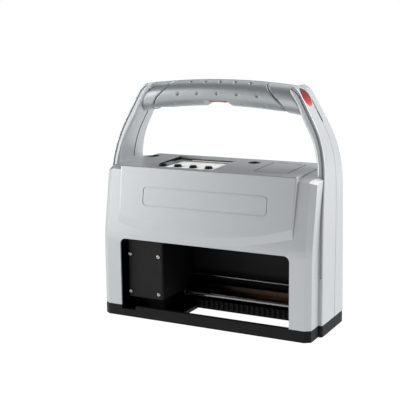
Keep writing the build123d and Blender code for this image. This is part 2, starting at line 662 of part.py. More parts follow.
def nodes():
    """Every sub-part by name; a list is a group of separate, identical pieces."""
    front, rear, lens = shells()
    base_front, base_rear = base()
    bar, sleeve = handle()
    parts = {
        "front_housing": front,
        "rear_housing": rear,
        "status_lens": lens,
        "base_front": base_front,
        "base_rear": base_rear,
        "handle_bar": bar,
        "grip_sleeve": sleeve,
        "trigger": trigger(),
        "trigger_spring": trigger_spring(),
        "trigger_switch": trigger_switch(),
        "status_board": status_board(),
        "display_bezel": display_bezel(),
        "display_window": display_window(),
        "display_module": display_module(),
        "keypad_board": keypad_board(),
        "battery_cover": battery_cover(),
        "cover_hinge_pin": rod_x(COVER_X0 + 1.5, COVER_X1 - 1.5, HINGE_Y, HINGE_Z, PIN_R),
        "battery_tray": battery_tray(),
        "battery_pack": block(BATTERY_X0, BATTERY_X1, BATTERY_Y0, BATTERY_Y1, BATTERY_Z0, BATTERY_Z1),
        "battery_contacts": [block(x, x + 5, 46, 51, 124, 125.8) for x in (55, 69)],
        "deck_plugs": [rod_z(x, y, deck(y) - 6, deck(y) - 1.0, PLUG_R) for x, y in PLUGS],
        "carriage_body": carriage_body(),
        "carriage_front_plate": carriage_front_plate(),
        "carriage_screws": carriage_screws(),
        "shaft_bushings": shaft_bushings(),
        "rod_slider": rod_slider(),
        "print_cartridge": print_cartridge(),
        "nozzle_plate": block(-80, -64, 28, 40, 4.5, 5),
        "contact_board": block(-82, -62, 66, 67.4, 40, 60),
        "belt_clamp": belt_clamp(),
        "encoder_sensor": encoder_sensor(),
        "guide_shaft": rod_x(-PLATE_X - 3, PLATE_X + 3, SHAFT_Y, SHAFT_Z, SHAFT_R),
        "guide_rod": rod_x(-PLATE_X - 3, PLATE_X + 3, ROD_Y, ROD_Z, ROD_R),
        "chassis_plate_left": chassis_plate(-1),
        "chassis_plate_right": chassis_plate(1),
        "motor_bracket": bracket(1, 4),
        "drive_motor": drive_motor(),
        "motor_shaft": rod_y(PULLEY_X, 58, 75, PULLEY_Z, 1.5),
        "motor_pulley": pulley(PULLEY_X, 1.5),
        "idler_bracket": bracket(-1, 1.5),
        "idler_pin": rod_y(-PULLEY_X, 64, 75, PULLEY_Z, 1.5),
        "idler_pulley": pulley(-PULLEY_X, 1.5 + RUN_CLEAR),
        "drive_belt": drive_belt(),
        "encoder_strip": block(-107, 107, 78.0, 78.3, 98.5, 103.5),
        "equipment_tray": block(-113, 113, 14, 82, TRAY_Z, TRAY_Z + 2),
        "bay_ceiling": block(-100, 91, 8, 63.5, 96.5, 97.5),
        "rear_wall_panel": rear_wall_panel(),
        "flex_cable": block(-60, 98, 84.1, 84.4, 12.6, 21.8),
        "main_board": main_board(),
        "board_standoffs": [rod_z(x, y, 122, 126, 2.5) for x in (-57, 25) for y in (22, 76)],
        "cap_station": block(-87, -57, 23, 45, 2.0, 3.4),
        "cap_pad": block(-82, -62, 26.5, 41.5, 3.4, 4.1),
        "shell_screws": shell_screws(),
        "base_screws": base_screws(),
    }
    for index, x in enumerate(key_places()):
        parts[f"key_{index + 1}"] = key(x)
    return parts


for name, shape in nodes().items():
    pieces = shape if isinstance(shape, list) else [shape]
    solids = [solid for piece in pieces for solid in piece.solids()]
    export_step(Compound(solids) if len(solids) > 1 else solids[0], f"parts/{name}.step")
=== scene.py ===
import json
import math

import bmesh
import bpy
from mathutils import Matrix, Vector


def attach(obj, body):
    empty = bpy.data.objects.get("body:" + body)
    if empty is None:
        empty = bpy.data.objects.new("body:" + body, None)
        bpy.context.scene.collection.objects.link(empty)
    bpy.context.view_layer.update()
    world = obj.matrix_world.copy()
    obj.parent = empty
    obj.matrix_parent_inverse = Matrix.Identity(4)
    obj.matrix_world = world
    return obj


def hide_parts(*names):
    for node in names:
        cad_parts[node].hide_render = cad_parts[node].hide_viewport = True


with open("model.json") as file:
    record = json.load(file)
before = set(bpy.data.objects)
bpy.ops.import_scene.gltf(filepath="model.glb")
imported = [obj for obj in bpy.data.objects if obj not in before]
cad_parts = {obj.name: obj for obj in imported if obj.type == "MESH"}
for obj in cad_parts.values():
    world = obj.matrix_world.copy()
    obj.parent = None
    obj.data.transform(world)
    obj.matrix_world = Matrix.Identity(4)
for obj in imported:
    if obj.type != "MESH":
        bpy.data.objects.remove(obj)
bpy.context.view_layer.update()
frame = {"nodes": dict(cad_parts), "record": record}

MM = 0.001
NODES = frame["nodes"]
SLOT_OF = {part["node"]: part["material_slot"] for part in frame["record"]["subparts"]}

# where the colour changes on the shells, the base, the lens, the keypad sheet and the film, in metres; most
# of these changes are painted shade or painted highlight
HOLLOW_CENTRE = (0.0, 0.0, 0.085)
HOLLOW_TOP_Z = 0.1585
HOLLOW_FRONT_Y = -0.0462
HOLLOW_FACING = -0.0005
BAY_HALF_X, BAY_Y0, BAY_Y1 = 0.104, -0.0405, 0.044
LENS_Z0, LENS_Z1 = 0.2265, 0.2440
PANEL_SHADOW_X = -0.0505
FILM_SHADE_X, FILM_UNSHADED_X = -0.02, 0.045


# ---------------------------------------------------------------- materials
class Finish:
    """One procedural material built round a Principled shader."""

    def __init__(self, name, metallic=0.0, specular=0.5):
        self.material = bpy.data.materials.new(name)
        self.material.use_nodes = True
        self.tree = self.material.node_tree
        self.shader = self.tree.nodes["Principled BSDF"]
        self.set("Metallic", metallic)
        self.set("Specular IOR Level", specular)
        self.place = self.node("ShaderNodeTexCoord").outputs["Object"]

    def node(self, kind, **settings):
        made = self.tree.nodes.new(kind)
        for key, value in settings.items():
            setattr(made, key, value)
        return made

    def link(self, source, target):
        self.tree.links.new(source, target)

    def set(self, socket, value):
        self.shader.inputs[socket].default_value = value

    def noise(self, size_mm, detail=3.0, roughness=0.5, stretch=(1, 1, 1)):
        """Noise whose features are about size_mm across."""
        mapping = self.node("ShaderNodeMapping")
        mapping.inputs["Scale"].default_value = stretch
        self.link(self.place, mapping.inputs["Vector"])
        texture = self.node("ShaderNodeTexNoise")
        texture.inputs["Scale"].default_value = 1000.0 / size_mm
        texture.inputs["Detail"].default_value = detail
        texture.inputs["Roughness"].default_value = roughness
        self.link(mapping.outputs["Vector"], texture.inputs["Vector"])
        return texture.outputs["Fac"]

    def along(self, axis):
        """The position along an axis, in metres."""
        split = self.node("ShaderNodeSeparateXYZ")
        self.link(self.place, split.inputs["Vector"])
        return split.outputs[axis]

    def lines(self, pitch_mm, axis):
        """Parallel straight bands across an axis."""
        texture = self.node("ShaderNodeTexWave", wave_type="BANDS", bands_direction=axis)
        texture.inputs["Scale"].default_value = 1000.0 / pitch_mm / 20.0 * math.pi
        self.link(self.place, texture.inputs["Vector"])
        return texture.outputs["Fac"]

    def colours(self, source, *stops):
        """A colour ramp; each stop is (position, (r, g, b))."""
        made = self.node("ShaderNodeValToRGB")
        elements = made.color_ramp.elements
        while len(elements) < len(stops):
            elements.new(0.5)
        for element, (position, colour) in zip(elements, stops):
            element.position = position
            element.color = (*colour, 1.0)
        self.link(source, made.inputs["Fac"])
        return made.outputs["Color"]

    def fade(self, source, start, end):
        """0 where the source is at start, rising to 1 where it is at end."""
        mapped = self.node("ShaderNodeMapRange")
        mapped.inputs["From Min"].default_value = start
        mapped.inputs["From Max"].default_value = end
        self.link(source, mapped.inputs["Value"])
        return mapped.outputs["Result"]

    def remap(self, source, low, high):
        """A source of 0 to 1 spread over low to high."""
        mapped = self.node("ShaderNodeMapRange")
        mapped.inputs["To Min"].default_value = low
        mapped.inputs["To Max"].default_value = high
        self.link(source, mapped.inputs["Value"])
        return mapped.outputs["Result"]

    def mix(self, factor, first, second):
        """Mixes two colours; each is a socket or a plain colour."""
        mixed = self.node("ShaderNodeMix", data_type="RGBA")
        self.link(factor, mixed.inputs["Factor"])
        for value, socket in ((first, mixed.inputs["A"]), (second, mixed.inputs["B"])):
            if isinstance(value, tuple):
                socket.default_value = (*value, 1.0)
            else:
                self.link(value, socket)
        return mixed.outputs["Result"]

    def math(self, operation, first, second=None):
        """One step of arithmetic; each value is a socket or a number."""
        made = self.node("ShaderNodeMath", operation=operation)
        for value, socket in zip((first, second), made.inputs):
            if isinstance(value, (int, float)):
                socket.default_value = value
            elif value is not None:
                self.link(value, socket)
        return made.outputs["Value"]

    def colour(self, source):
        self.link(source, self.shader.inputs["Base Color"])

    def roughness(self, source, low, high):
        self.link(self.remap(source, low, high), self.shader.inputs["Roughness"])

    def bump(self, source, depth_mm, strength=1.0):
        made = self.node("ShaderNodeBump")
        made.inputs["Strength"].default_value = strength
        made.inputs["Distance"].default_value = depth_mm * MM
        self.link(source, made.inputs["Height"])
        self.link(made.outputs["Normal"], self.shader.inputs["Normal"])


def inner_side(finish):
    """1 on the walls that face the hollow of the shells, 0 on the outer skin."""
    geometry = finish.node("ShaderNodeNewGeometry")
    centred = finish.node("ShaderNodeVectorMath", operation="SUBTRACT")
    centred.inputs[1].default_value = HOLLOW_CENTRE
    finish.link(finish.place, centred.inputs[0])
    dot = finish.node("ShaderNodeVectorMath", operation="DOT_PRODUCT")
    finish.link(centred.outputs["Vector"], dot.inputs[0])
    finish.link(geometry.outputs["True Normal"], dot.inputs[1])
    facing = finish.math("LESS_THAN", dot.outputs["Value"], HOLLOW_FACING)
    low = finish.math("LESS_THAN", finish.along("Z"), HOLLOW_TOP_Z)
    deep = finish.math("GREATER_THAN", finish.along("Y"), HOLLOW_FRONT_Y)
    return finish.math("MULTIPLY", finish.math("MULTIPLY", facing, low), deep)


def silver_shell():
    """Silver paint with fine flakes outside; black plastic inside, made near black as painted shade of the
    hollow.
    """
    finish = Finish("silver_paint", metallic=0.55)
    flakes = finish.noise(0.35, detail=2.0)
    clouds = finish.noise(40.0, detail=4.0)
    tone = finish.colours(flakes, (0.25, (0.47, 0.49, 0.505)), (0.75, (0.56, 0.58, 0.595)))
    tone = finish.mix(finish.remap(clouds, 0.0, 0.25), tone, (0.54, 0.565, 0.585))
    # the walls facing the hollow are black plastic, darkened to near black as painted shade
    finish.colour(finish.mix(inner_side(finish), tone, (0.004, 0.004, 0.004)))
    finish.roughness(finish.noise(3.0, detail=5.0), 0.36, 0.46)
    finish.bump(flakes, 0.012, 0.5)
    return finish.material


def grey_handle():
    """A darker grey paint with fine flakes."""
    finish = Finish("grey_handle_paint", metallic=0.55)
    flakes = finish.noise(0.35, detail=2.0)
    finish.colour(finish.colours(flakes, (0.25, (0.43, 0.455, 0.47)), (0.75, (0.51, 0.535, 0.55))))
    finish.roughness(finish.noise(4.0, detail=5.0), 0.33, 0.42)
    finish.bump(flakes, 0.012, 0.5)
    return finish.material


def grey_grip():
    """Soft-touch grey coat with a fine grain, slightly uneven from use."""
    finish = Finish("grey_soft_grip", metallic=0.5)
    grain = finish.noise(0.6, detail=6.0, roughness=0.65)
    wear = finish.noise(25.0, detail=3.0)
    tone = finish.colours(wear, (0.35, (0.38, 0.405, 0.415)), (0.7, (0.42, 0.445, 0.455)))
    finish.colour(tone)
    finish.roughness(grain, 0.34, 0.46)
    finish.bump(grain, 0.02, 0.5)
    return finish.material


def plain_finish(name, dark, light, grain_mm, rough, depth_mm, metallic=0.0, specular=0.5):
    """A moulded or coated surface: two close tones, a fine grain, and a little unevenness in its gloss."""
    finish = Finish(name, metallic=metallic, specular=specular)
    grain = finish.noise(grain_mm, detail=5.0, roughness=0.6)
    tone = finish.noise(18.0, detail=3.0)
    finish.colour(finish.colours(tone, (0.3, dark), (0.7, light)))
    finish.roughness(grain, *rough)
    finish.bump(grain, depth_mm, 0.7)
    return finish


def red_lens():
    """Red cover with painted light: pale with a painted highlight at its bottom edge, deepening to painted
    shade at its top; it is not transparent.
    """
    finish = Finish("red_lens")
    # painted highlight low on the cover, painted shade towards its top
    height = finish.fade(finish.along("Z"), LENS_Z0, LENS_Z1)
    finish.colour(finish.colours(height, (0.0, (0.7, 0.1, 0.12)), (0.3, (0.42, 0.012, 0.02)),
                                 (0.6, (0.2, 0.0005, 0.005)), (1.0, (0.07, 0.0003, 0.002))))
    grain = finish.noise(2.0)
    finish.roughness(grain, 0.16, 0.22)
    finish.bump(grain, 0.004, 0.6)
    finish.set("Specular IOR Level", 0.08)
    finish.set("Coat Weight", 0.02)
    finish.set("Coat Roughness", 0.08)
    return finish.material


def white_panel():
    """Glossy printed white sheet with a grey painted shadow at its left end; a faint painted glow of its
    own keeps it white.
    """
    finish = Finish("white_panel", specular=0.5)
    # painted shadow: grey where the recess's left wall shades the sheet
    painted_shadow = finish.math("LESS_THAN", finish.along("X"), PANEL_SHADOW_X)
    cloud = finish.noise(9.0, detail=3.0)
    white = finish.colours(cloud, (0.3, (0.88, 0.88, 0.87)), (0.7, (0.94, 0.94, 0.93)))
    tone = finish.mix(painted_shadow, white, (0.17, 0.18, 0.185))
    finish.colour(tone)
    # painted glow: the sheet is no lamp, its emission only lifts it to white
    finish.link(tone, finish.shader.inputs["Emission Color"])
    finish.set("Emission Strength", 0.3)
    finish.roughness(cloud, 0.2, 0.3)
    finish.bump(cloud, 0.008, 0.5)
    return finish.material


def display_glass():
    """Grey liquid-crystal screen under a clear face."""
    finish = plain_finish("display_glass", (0.4, 0.42, 0.4), (0.45, 0.47, 0.45), 3.0, (0.05, 0.1), 0.002)
    finish.set("Coat Weight", 0.5)
    finish.set("Coat Roughness", 0.03)
    return finish.material


def black_base():
    """Moulded black base, matt, with painted shade making it near black where it faces the print bay."""
    finish = Finish("black_base", specular=0.15)
    grain = finish.noise(0.9, detail=5.0, roughness=0.6)
    tone = finish.colours(finish.noise(18.0), (0.3, (0.006, 0.006, 0.0065)), (0.7, (0.009, 0.009, 0.0095)))
    # painted shade: the base is near black inside the print bay, where shade falls
    within = finish.math("LESS_THAN", finish.math("ABSOLUTE", finish.along("X")), BAY_HALF_X)
    behind = finish.math("GREATER_THAN", finish.along("Y"), BAY_Y0)
    before = finish.math("LESS_THAN", finish.along("Y"), BAY_Y1)
    inside = finish.math("MULTIPLY", within, finish.math("MULTIPLY", behind, before))
    finish.colour(finish.mix(inside, tone, (0.0006, 0.0006, 0.0006)))
    finish.roughness(grain, 0.5, 0.65)
    finish.bump(grain, 0.05, 0.7)
    return finish.material


def brushed(name, dark, light, stretch, rough, metallic=1.0):
    """Metal with fine drawn or turned lines."""
    finish = Finish(name, metallic=metallic)
    streaks = finish.noise(1.2, detail=6.0, roughness=0.7, stretch=stretch)
    finish.colour(finish.colours(streaks, (0.3, dark), (0.7, light)))
    finish.roughness(streaks, *rough)
    finish.bump(streaks, 0.006, 0.6)
    return finish.material


def circuit_board():
    """Green solder mask under a thin gloss."""
    finish = plain_finish("solder_mask", (0.01, 0.07, 0.035), (0.015, 0.1, 0.05), 1.0, (0.25, 0.4), 0.01)
    finish.set("Coat Weight", 0.3)
    return finish.material


def amber_film():
    """Polyimide film with copper tracks; painted shade fades it to near black towards the left of the bay,
    where the carriage shades it.
    """
    finish = Finish("amber_film", specular=0.5)
    tracks = finish.lines(1.1, "Z")
    cloud = finish.noise(12.0)
    film = finish.colours(cloud, (0.3, (0.09, 0.038, 0.016)), (0.7, (0.13, 0.055, 0.022)))
    film = finish.mix(finish.remap(tracks, 0.0, 0.5), film, (0.17, 0.08, 0.035))
    # painted shade: near black at the left, full colour to the right
    clear = finish.fade(finish.along("X"), FILM_SHADE_X, FILM_UNSHADED_X)
    finish.colour(finish.mix(clear, (0.004, 0.003, 0.002), film))
    finish.roughness(cloud, 0.2, 0.32)
    finish.bump(tracks, 0.02, 0.5)
    return finish.material


def build_materials():
    """One material for each slot of the record."""
    def moulded(*args):
        return plain_finish(*args).material

    def dull(name, dark, light, *args):
        """Matt black or near black; each tone is one grey level or a colour."""
        tones = [(tone,) * 3 if isinstance(tone, float) else tone for tone in (dark, light)]
        return plain_finish(name, *tones, *args, specular=0.2).material
    return {
        "silver_shell": silver_shell(),
        "grey_handle": grey_handle(),
        "grey_grip": grey_grip(),
        "black_base": black_base(),
        # black_inner and the cartridge are black plastic, made near black as painted shade of the print
        # bay; black_inner also colours the painted shade strips
        "black_inner": dull("black_inner", 0.0008, 0.0015, 1.2, (0.55, 0.7), 0.03),
        "black_plate": dull("black_plate", 0.007, 0.01, 0.5, (0.4, 0.55), 0.02),
        "black_metal": dull("black_metal", 0.004, 0.006, 0.5, (0.45, 0.6), 0.02),
        "cartridge_shell": dull("cartridge", 0.003, (0.005, 0.005, 0.006), 1.0, (0.4, 0.55), 0.03),
        "red_lens": red_lens(),
        "red_trigger": moulded("red_trigger", (0.5, 0.012, 0.015), (0.62, 0.02, 0.02), 1.5,
                               (0.2, 0.32), 0.01),
        "white_panel": white_panel(),
        "display_glass": display_glass(),
        "black_rubber": dull("black_rubber", 0.003, 0.006, 0.7, (0.4, 0.55), 0.02),
        "steel": brushed("plated_steel", (0.52, 0.52, 0.53), (0.68, 0.68, 0.69), (1, 1, 1), (0.28, 0.4)),
        "polished_steel": brushed("ground_steel", (0.22, 0.215, 0.23), (0.3, 0.295, 0.31), (0.1, 1, 1),
                                  (0.12, 0.2)),
        "aluminium": brushed("turned_aluminium", (0.6, 0.61, 0.62), (0.74, 0.75, 0.76), (1, 0.2, 1),
                             (0.25, 0.4)),
        "brass": brushed("bronze", (0.22, 0.15, 0.07), (0.3, 0.21, 0.1), (0.3, 1, 1), (0.3, 0.45)),
        "motor_can": brushed("motor_can", (0.4, 0.4, 0.41), (0.52, 0.52, 0.53), (1, 0.1, 1), (0.3, 0.45)),
        "circuit_board": circuit_board(),
        "amber_film": amber_film(),
        "clear_film": moulded("clear_film", (0.3, 0.31, 0.32), (0.42, 0.43, 0.44), 0.4, (0.15, 0.3), 0.01),
        "battery_wrap": moulded("battery_wrap", (0.03, 0.035, 0.05), (0.045, 0.05, 0.07), 2.0,
                                (0.3, 0.45), 0.02),
    }


# ---------------------------------------------------------------- studio
CAMERA_AT = Vector((0.43259, -0.87549, 0.30820))
CAMERA_TURN = (27.62, -10.6, -0.577)     # yaw, pitch and roll in degrees
LENS_MM, SENSOR_MM = 85.24, 36.0


def add_camera():
    """The camera stands to the right and a little above, looking back at the front of the object."""
    data = bpy.data.cameras.new("camera")
    data.lens = LENS_MM
    data.sensor_width = SENSOR_MM
    data.clip_start = 0.05
    camera = bpy.data.objects.new("camera", data)
    bpy.context.scene.collection.objects.link(camera)
    yaw, pitch, roll = (math.radians(angle) for angle in CAMERA_TURN)
    ahead = Vector((-math.sin(yaw) * math.cos(pitch), math.cos(yaw) * math.cos(pitch), math.sin(pitch)))
    level = Vector((math.cos(yaw), math.sin(yaw), 0.0))
    up = level.cross(ahead)
    right = level * math.cos(roll) + up * math.sin(roll)
    top = up * math.cos(roll) - level * math.sin(roll)
    pose = Matrix((right, top, -ahead)).transposed().to_4x4()
    pose.translation = CAMERA_AT
    camera.matrix_world = pose
    bpy.context.scene.camera = camera


def add_softbox(name, place, target, size, watts):
    """A soft rectangular light at a place, facing a target."""
    data = bpy.data.lights.new(name, "AREA")
    data.shape = "RECTANGLE"
    data.size, data.size_y = size
    data.energy = watts
    light = bpy.data.objects.new(name, data)
    bpy.context.scene.collection.objects.link(light)
    light.location = place
    light.rotation_euler = (target - place).to_track_quat("-Z", "Y").to_euler()


STUDIO = (
    # name, azimuth, elevation, watts; azimuth 0 is in front of the object and 90 on its right
    ("left_softbox", -56, 15, 15.5),
    ("right_softbox", 122, 15, 9.5),
    ("right_high_softbox", 118, 50, 16.0),
    ("right_side_fill", 92, 10, 3.0),
    ("front_fill", 45, 15, 2.0),
    ("back_softbox", 175, 15, 3.5),
    ("left_side_fill", -105, 6, 3.0),
    ("back_high_softbox", -150, 50, 4.0),
)
STUDIO_SIZE = (1.1, 1.1)
STUDIO_AIM = Vector((0, 0, 0.12))
STUDIO_DISTANCE = 1.5
SURROUND_GLOW = 0.02      # what the white surround sheds on the object
FLOOR_Z, FLOOR_HALF = -0.0004, 3.0


def add_studio():
    """Softboxes round the object, a surround that the camera sees as white, and a plain pale floor."""
    for name, azimuth, elevation, watts in STUDIO:
        turn, rise = math.radians(azimuth), math.radians(elevation)
        away = Vector((math.sin(turn) * math.cos(rise), -math.cos(turn) * math.cos(rise), math.sin(rise)))
        add_softbox(name, STUDIO_AIM + away * STUDIO_DISTANCE, STUDIO_AIM, STUDIO_SIZE, watts)
    world = bpy.data.worlds.new("surround")
    bpy.context.scene.world = world
    world.use_nodes = True
    tree = world.node_tree
    surround = tree.nodes["Background"]
    surround.inputs["Color"].default_value = (1, 1, 1, 1)
    surround.inputs["Strength"].default_value = SURROUND_GLOW
    seen = tree.nodes.new("ShaderNodeBackground")
    seen.inputs["Color"].default_value = (1, 1, 1, 1)
    seen.inputs["Strength"].default_value = 1.0
    rays = tree.nodes.new("ShaderNodeLightPath")
    choose = tree.nodes.new("ShaderNodeMixShader")
    tree.links.new(rays.outputs["Is Camera Ray"], choose.inputs["Fac"])
    tree.links.new(surround.outputs["Background"], choose.inputs[1])
    tree.links.new(seen.outputs["Background"], choose.inputs[2])
    tree.links.new(choose.outputs["Shader"], tree.nodes["World Output"].inputs["Surface"])
    mesh = bpy.data.meshes.new("floor")
    corners = [(x * FLOOR_HALF, y * FLOOR_HALF, FLOOR_Z) for x, y in ((-1, -1), (1, -1), (1, 1), (-1, 1))]
    mesh.from_pydata(corners, [], [(0, 1, 2, 3)])
    floor = bpy.data.objects.new("floor", mesh)
    bpy.context.scene.collection.objects.link(floor)
    # the floor glows by itself, so it is white in every view and shows no shadow
    finish = Finish("pale_floor", specular=0.1)
    finish.set("Base Color", (0.02, 0.02, 0.02, 1))
    finish.set("Roughness", 0.8)
    finish.set("Emission Color", (1, 1, 1, 1))
    finish.set("Emission Strength", 1.0)
    mesh.materials.append(finish.material)


# ---------------------------------------------------------------- mesh helpers
def add_piece(name, mesh, body, slot, *replaced):
    """Puts a finished mesh into the scene, riding on a body and wearing its slot's material."""
    piece = bpy.data.objects.new(name, mesh)
    bpy.context.scene.collection.objects.link(piece)
    mesh.materials.append(MATERIALS[slot])
    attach(piece, body)
    if replaced:
        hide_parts(*replaced)
    return piece


def skin(name, *ring_sets, wrap=False):
    """Closed skins over sets of rings; wrap joins the last ring to the first, else both ends are capped."""
    points, faces = [], []
    for rings in ring_sets:
        start, count = len(points), len(rings[0])
        points += [Vector(p) * MM for ring in rings for p in ring]
        for row in range(len(rings) if wrap else len(rings) - 1):
            low, high = start + row * count, start + (row + 1) % len(rings) * count
            for k in range(count):
                after = (k + 1) % count
                faces.append((low + k, low + after, high + after, high + k))
        if not wrap:
            faces.append(tuple(start + k for k in reversed(range(count))))
            faces.append(tuple(start + (len(rings) - 1) * count + k for k in range(count)))
    mesh = bpy.data.meshes.new(name)
    mesh.from_pydata(points, [], faces)
    repair(mesh)
    return mesh


def turned(profile, place, axis="Z", sides=48):
    """Rings of a turned part; a profile entry is (radius, height) and a third item gives it six flats."""
    rings = []
    for radius, height, *flats in profile:
        ring = []
        for k in range(sides):
            angle = 2 * math.pi * k / sides
            reach = radius
            if flats:
                reach *= math.cos(math.pi / 6) / math.cos(angle % (math.pi / 3) - math.pi / 6)
            u, v = reach * math.cos(angle), reach * math.sin(angle)
            offset = {"X": (height, u, v), "Y": (u, height, v), "Z": (u, v, height)}[axis]
            ring.append(Vector(place) + Vector(offset))
        rings.append(ring)
    return rings


def repair(mesh):
    """Makes the normals point outward and the shading smooth."""
    solid = bmesh.new()
    solid.from_mesh(mesh)
    bmesh.ops.recalc_face_normals(solid, faces=solid.faces)
    for face in solid.faces:
        face.smooth = True
    solid.to_mesh(mesh)
    solid.free()


def box_mesh(low, high):
    """A box between two corners in millimetres, used only for cutting."""
    mesh = bpy.data.meshes.new("cutter")
    tool = bmesh.new()
    bmesh.ops.create_cube(tool, size=1.0)
    size = (Vector(high) - Vector(low)) * MM
    middle = (Vector(high) + Vector(low)) / 2 * MM
    placed = Matrix.Translation(middle) @ Matrix.Diagonal((*size, 1))
    bmesh.ops.transform(tool, matrix=placed, verts=tool.verts)
    tool.to_mesh(mesh)
    tool.free()
    return mesh


def cut(mesh, *tools):
    """Cuts the tool meshes out of a mesh."""
    target = bpy.data.objects.new("cut_target", mesh)
    bpy.context.scene.collection.objects.link(target)
    cutters = []
    for tool in tools:
        cutter = bpy.data.objects.new("cutter", tool)
        bpy.context.scene.collection.objects.link(cutter)
        cutters.append(cutter)
        step = target.modifiers.new("cut", "BOOLEAN")
        step.operation = "DIFFERENCE"
        step.object = cutter
        step.solver = "EXACT"
    graph = bpy.context.evaluated_depsgraph_get()
    result = bpy.data.meshes.new_from_object(target.evaluated_get(graph))
    for done in (target, *cutters):
        bpy.data.objects.remove(done)
    return result


# ---------------------------------------------------------------- handle
GRIP_TOP, GRIP_BOTTOM = 250.79, 223.6
GRIP_ARC_TOP, GRIP_ARC_BOTTOM = 713.0, 533.0
GRIP_Y, GRIP_DEPTH = 7.5, 34.5
SEAM_LEFT, SEAM_RIGHT = -67.3, 62.3
SEAM_SWING = 11.8
SEAM_TURN = 45.0
SLEEVE_THICK = 3.0
CORE_INSET = 1.9
SEAM_GAP = 0.55
DIMPLE_R, DIMPLE_DEEP = 2.1, 1.6
DIMPLE_ROWS = ((58.0, 17.0, 5), (1.0, 22.5, 5), (-49.0, 26.0, 5))
NOTCH_Z = 229.3
NOTCH = ((-22.0, -15.0), (9.0, 16.0))
TRIGGER_MOUTH = ((-14.0, -2.0, 215.0), (8.0, 17.0, 232.0))
TRIGGER_CHAMBER = ((-17.0, -3.0, 228.5), (11.0, 18.0, 241.0))
ARM_ENDS = ((246.3, 82.0), (240.5, 80.0), (230.5, 86.5), (214.5, 94.2))
RING = 184
SLEEVE_STEPS, SLEEVE_INNER_STEPS = 250, 40
SHOULDER_SHARES = (0.0, 0.12, 0.25, 0.4, 0.55, 0.7, 0.82, 0.92, 0.97)
# how far in from a rounded end, and how far down from the full surface
LIP = ((0.0, 1.5), (0.08, 1.05), (0.3, 0.62), (0.7, 0.28), (1.2, 0.07), (1.9, 0.0))
LIP_RUN = 2.1
BLADE_X0, BLADE_X1 = -13.3, 7.3
BLADE_Z0, BLADE_Z1 = 226.7, 231.9
BLADE_Y, BLADE_HALF_Y = 7.3, 9.3
BLADE_HOLLOW = 0.7
BLADE_STEPS, BLADE_SIDES = 24, 40


def grip_point(x, angle, inset=0.0):
    """A point of the oval bar at a place along it; the angle starts at the front and rises to the top."""
    top = GRIP_TOP - x * x / (2 * GRIP_ARC_TOP) - inset
    bottom = GRIP_BOTTOM - x * x / (2 * GRIP_ARC_BOTTOM) + inset
    y = GRIP_Y - (GRIP_DEPTH / 2 - inset) * math.cos(angle)
    return Vector((x, y, (top + bottom) / 2 + (top - bottom) / 2 * math.sin(angle)))


def seam_x(middle, side, angle):
    """Where the sleeve's end lies at an angle: an S-curve, the same on the front and the back."""
    rise = math.degrees(math.asin(math.sin(angle)))
    return middle + side * SEAM_SWING * math.tanh((rise - 7.0) / SEAM_TURN)


def arm_end_x(z):
    """Half-width between the arms at a height."""
    for (z0, x0), (z1, x1) in zip(ARM_ENDS, ARM_ENDS[1:]):
        if z >= z1:
            return x0 + (x1 - x0) * (z0 - z) / (z0 - z1)
    return ARM_ENDS[-1][1]


def dimple_drop(x, angle):
    """Depth of the round dimples pressed into the sleeve."""
    drop = 0.0
    degrees = math.degrees(math.asin(math.sin(angle)))
    for row_angle, pitch, number in DIMPLE_ROWS:
        across = (degrees - row_angle) * math.radians(1) * 15.0
        if abs(across) > DIMPLE_R:
            continue
        nearest = round(x / pitch)
        if abs(nearest) > number // 2:
            continue
        away = math.hypot(across, x - nearest * pitch) / DIMPLE_R
        if away < 1:
            drop = max(drop, DIMPLE_DEEP * (1 - away * away) ** 0.8)
    return drop


def notch_floor(x):
    """Height below which the sleeve is cut away round the trigger."""
    (left_out, left_in), (right_in, right_out) = NOTCH
    share = min((x - left_out) / (left_in - left_out), (right_out - x) / (right_out - right_in))
    share = max(0.0, min(1.0, share))
    return GRIP_BOTTOM - 3.0 + (NOTCH_Z - GRIP_BOTTOM + 3.0) * share * share * (3 - 2 * share)


def angles():
    """The angles of the points of one ring round the bar."""
    return [2 * math.pi * k / RING for k in range(RING)]


def sleeve_mesh():
    """The soft sleeve: rounded ends along the S-curves, dimples, and the notch for the trigger."""
    outer = [(0.0, off, drop) for off, drop in LIP]
    outer += [(k / SLEEVE_STEPS, LIP_RUN, 0.0) for k in range(1, SLEEVE_STEPS)]
    outer += [(1.0, off, drop) for off, drop in reversed(LIP)]
    inner = [(k / SLEEVE_INNER_STEPS, 0.0, SLEEVE_THICK) for k in range(SLEEVE_INNER_STEPS, -1, -1)]
    rings = []
    for share, off, drop in outer + inner:
        ring = []
        for angle in angles():
            left = seam_x(SEAM_LEFT, 1, angle) + SEAM_GAP
            right = seam_x(SEAM_RIGHT, -1, angle) - SEAM_GAP
            if drop == SLEEVE_THICK:
                x = left + (right - left) * share
                deep = drop
            else:
                x = left + off + (right - left - 2 * off) * share
                deep = drop + dimple_drop(x, angle)
            point = grip_point(x, angle, deep)
            inside = 0.9 if drop == SLEEVE_THICK else 0.0
            point.z = max(point.z, notch_floor(x) + inside)
            ring.append(point)
        rings.append(ring)
    return cut(skin("grip_sleeve_soft", rings, wrap=True), box_mesh(*TRIGGER_MOUTH))


def core_point(x, angle):
    """A point of the bar inside the sleeve, notched like the sleeve."""
    point = grip_point(x, angle, CORE_INSET)
    point.z = max(point.z, notch_floor(x) + 0.4)
    return point


